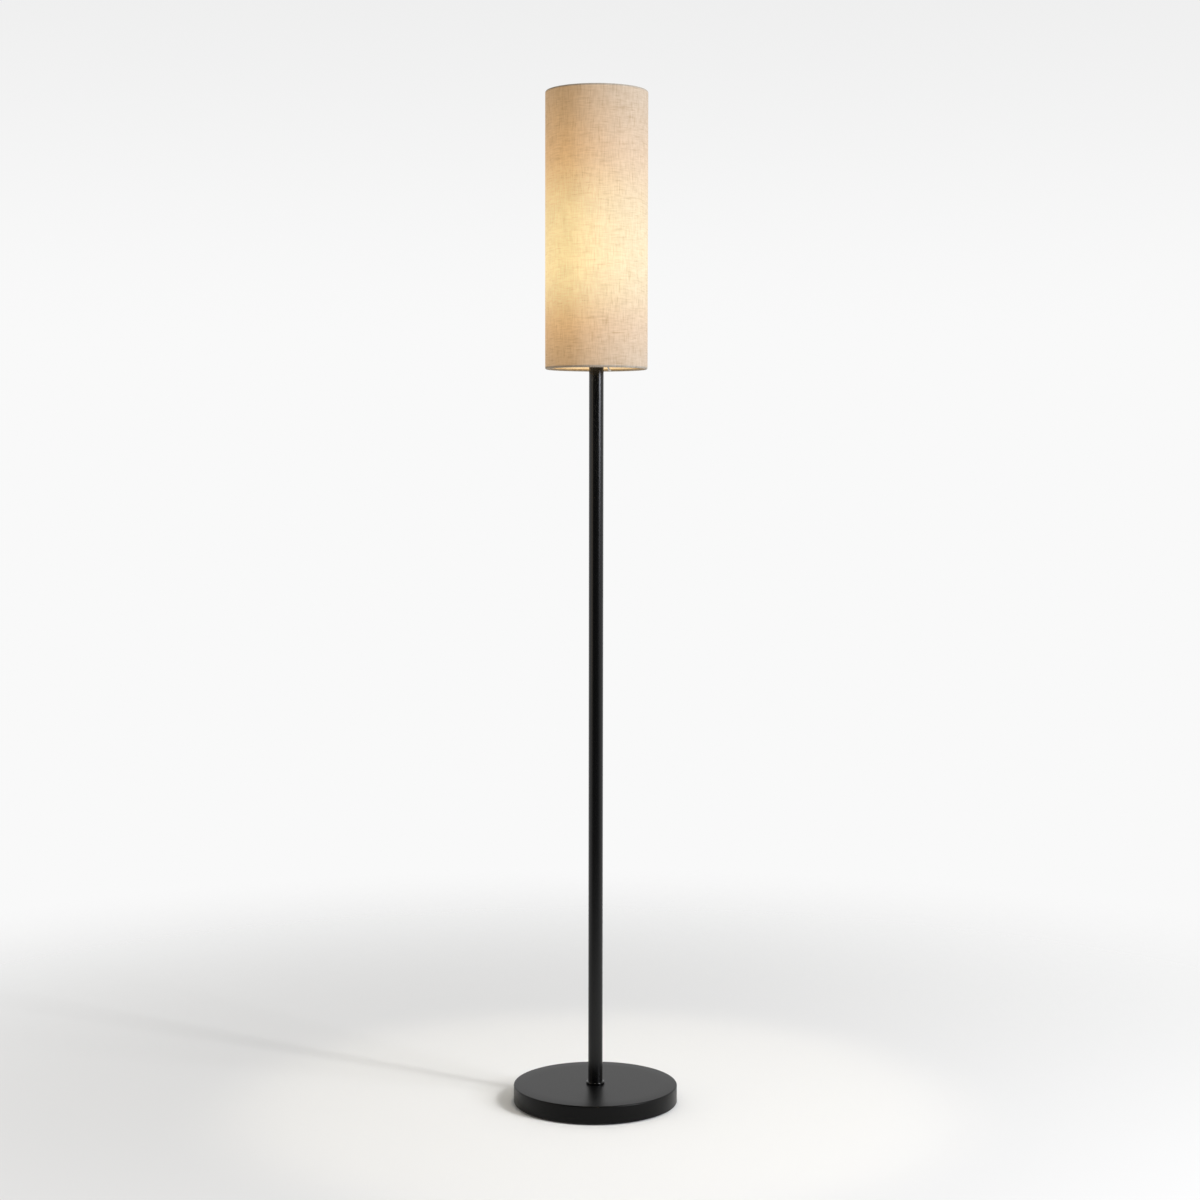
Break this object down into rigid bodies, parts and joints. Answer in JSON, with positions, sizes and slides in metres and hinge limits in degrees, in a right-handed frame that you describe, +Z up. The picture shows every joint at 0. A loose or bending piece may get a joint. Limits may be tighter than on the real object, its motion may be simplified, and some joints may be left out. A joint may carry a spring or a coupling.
{
  "type": "column floor lamp",
  "caption": "Floor lamp with a round weighted base, a straight slim pole and a tall cylindrical linen shade round a switched lampholder and bulb.",
  "frame": {"origin": "on the floor, on the pole's axis", "axes": "+Z up along the pole, -Y towards the front of the lamp, +Y towards the cord inlet at the back"},
  "size_m": [0.25, 0.2525, 1.531],
  "materials": {
    "black_paint": "satin",
    "cast_iron": "matte",
    "zinc_steel": "satin",
    "rubber": "matte",
    "black_plastic": "satin",
    "clear_nylon": "satin",
    "porcelain": "satin",
    "brass": "satin",
    "brown_wire": "satin",
    "blue_wire": "satin",
    "nickel": "satin",
    "contact_metal": "satin",
    "black_glass": "gloss",
    "white_plastic": "satin",
    "opal": "matte",
    "circuit_board": "satin",
    "led": "satin",
    "board_green": "satin",
    "capacitor_sleeve": "satin",
    "linen": "matte",
    "liner": "satin",
    "white_wire": "satin"
  },
  "bodies": {
    "stand": {"base_cover": "black_paint", "base_weight": "cast_iron", "base_plate": "zinc_steel", "plate_screws": "zinc_steel", "foot_pads": "rubber", "foot_collar": "black_paint", "base_nipple": "zinc_steel", "base_washer": "zinc_steel", "spring_washer": "zinc_steel", "base_nut": "zinc_steel", "cord_inlet": "black_plastic", "inlet_nut": "black_plastic", "terminal_block": "clear_nylon", "terminal_barrels": "brass", "terminal_block_screws": "brass", "block_fixing_screw": "zinc_steel", "live_wire": "brown_wire", "neutral_wire": "blue_wire", "pole_tube": "black_paint", "pole_foot_bush": "zinc_steel", "pole_top_bush": "black_paint", "holder_nipple": "zinc_steel", "holder_cap": "black_plastic", "cap_lock_screw": "black_plastic", "holder_core": "porcelain", "screw_shell": "brass", "centre_contact": "brass", "contact_rivets": "brass", "holder_terminals": "brass", "holder_terminal_screws": "brass", "holder_skirt": "black_plastic", "switch_leaves": "brass", "clamp_ring": "black_plastic"},
    "switch": {"switch_rotor": "black_plastic", "switch_knob": "black_plastic"},
    "bulb": {"bulb_contact": "contact_metal", "bulb_insulator": "black_glass", "bulb_screw_cap": "nickel", "bulb_housing": "white_plastic", "bulb_globe": "opal", "led_board": "circuit_board", "led_chips": "led", "driver_board": "board_green", "driver_capacitor": "capacitor_sleeve"},
    "shade": {"shade_linen": "linen", "shade_liner": "liner", "shade_top_wire": "white_wire", "shade_bottom_wire": "white_wire", "fitter_ring": "white_wire", "fitter_arms": "white_wire"}
  },
  "joints": [
    {"name": "switch_turn", "type": "hinge", "parent": "stand", "child": "switch", "pos_m": [0, -0.024, 1.206], "axis": [0, -1, 0], "continuous": true},
    {"name": "bulb_out", "type": "slide", "parent": "stand", "child": "bulb", "axis": [0, 0, 1], "range_m": [0, 0.33]},
    {"name": "shade_turn", "type": "hinge", "parent": "stand", "child": "shade", "pos_m": [0, 0, 1.226], "axis": [0, 0, 1], "continuous": true}
  ]
}
